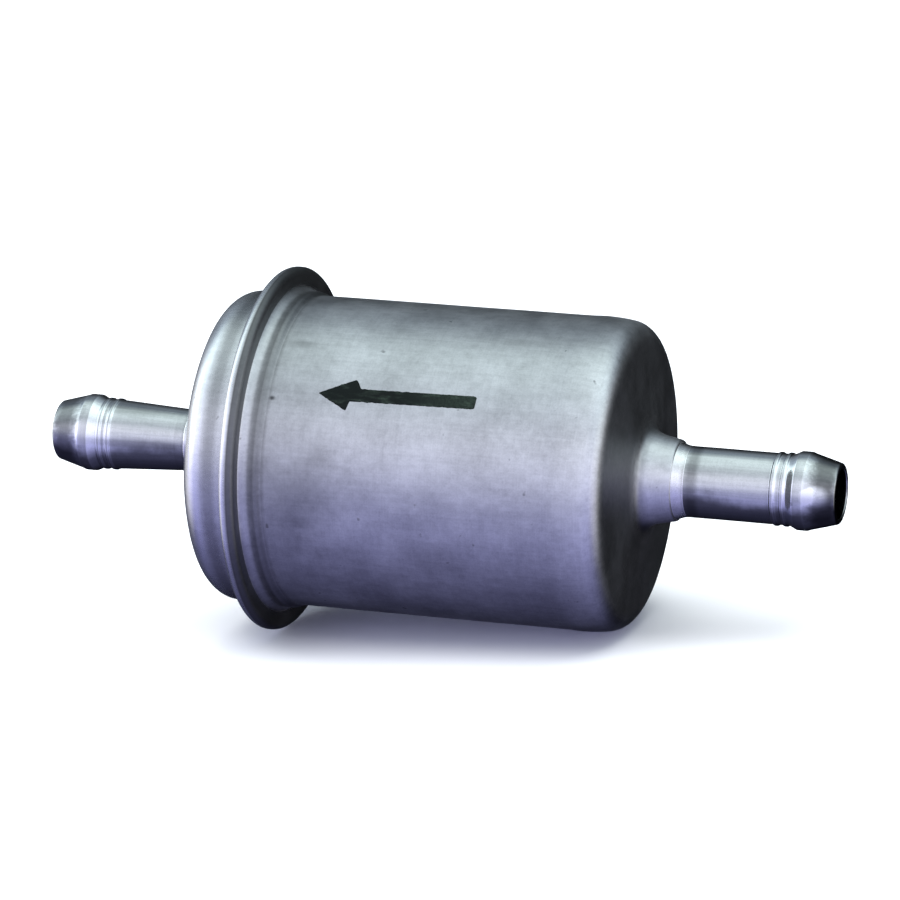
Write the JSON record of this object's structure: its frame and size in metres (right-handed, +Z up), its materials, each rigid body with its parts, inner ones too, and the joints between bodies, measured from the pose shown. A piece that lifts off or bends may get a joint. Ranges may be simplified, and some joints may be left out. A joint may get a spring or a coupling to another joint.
{
  "type": "fuel filter",
  "caption": "Round in-line fuel filter: drawn steel can with a rolled seam, beaded hose spigot at each end, flow arrow, and a spring-held pleated paper element inside.",
  "frame": {"origin": "on the filter's axis, at the middle of the can's straight wall, where a clamp band grips it", "axes": "+X along the axis towards the inlet, so fuel flows towards -X; +Z up; the flow arrow faces -Y and up"},
  "size_m": [0.0996, 0.0448, 0.0448],
  "materials": {
    "can_steel": "satin zinc plate, drawn",
    "cover_steel": "satin zinc plate, drawn",
    "spigot_steel": "bright zinc plate, turned",
    "braze": "dull braze fillet under zinc",
    "ink": "matt black marking ink",
    "sealing_film": "flowed-in sealing compound",
    "pan_steel": "tin plate",
    "core_steel": "perforated tin plate",
    "potting": "cured plastisol",
    "paper": "resin-treated filter paper",
    "clip_steel": "plain strip",
    "gauze": "woven nylon gauze",
    "ring_plastic": "moulded ring",
    "seal_rubber": "fuel-proof rubber",
    "spring_steel": "drawn spring wire",
    "spider_steel": "pressed strip"
  },
  "bodies": {
    "shell": {"housing_can": "can_steel", "end_cover": "cover_steel", "seam_gasket": "sealing_film", "inlet_spigot": "spigot_steel", "outlet_spigot": "spigot_steel", "inlet_braze_ring": "braze", "outlet_braze_ring": "braze", "flow_arrow": "ink", "element_spring": "spring_steel"},
    "element": {"outlet_end_cap": "pan_steel", "inlet_end_cap": "pan_steel", "outlet_potting": "potting", "inlet_potting": "potting", "pleated_paper": "paper", "seam_clip": "clip_steel", "core_tube": "core_steel", "outlet_screen": "gauze", "screen_ring": "ring_plastic", "element_seal": "seal_rubber", "locating_spider": "spider_steel"}
  },
  "joints": [
    {"name": "element_lift", "type": "slide", "parent": "shell", "child": "element", "axis": [1, 0, 0], "range_m": [0, 0.0012], "stiffness_N_per_m": 2500, "springref_m": -0.002, "deforming": ["element_spring"]}
  ]
}
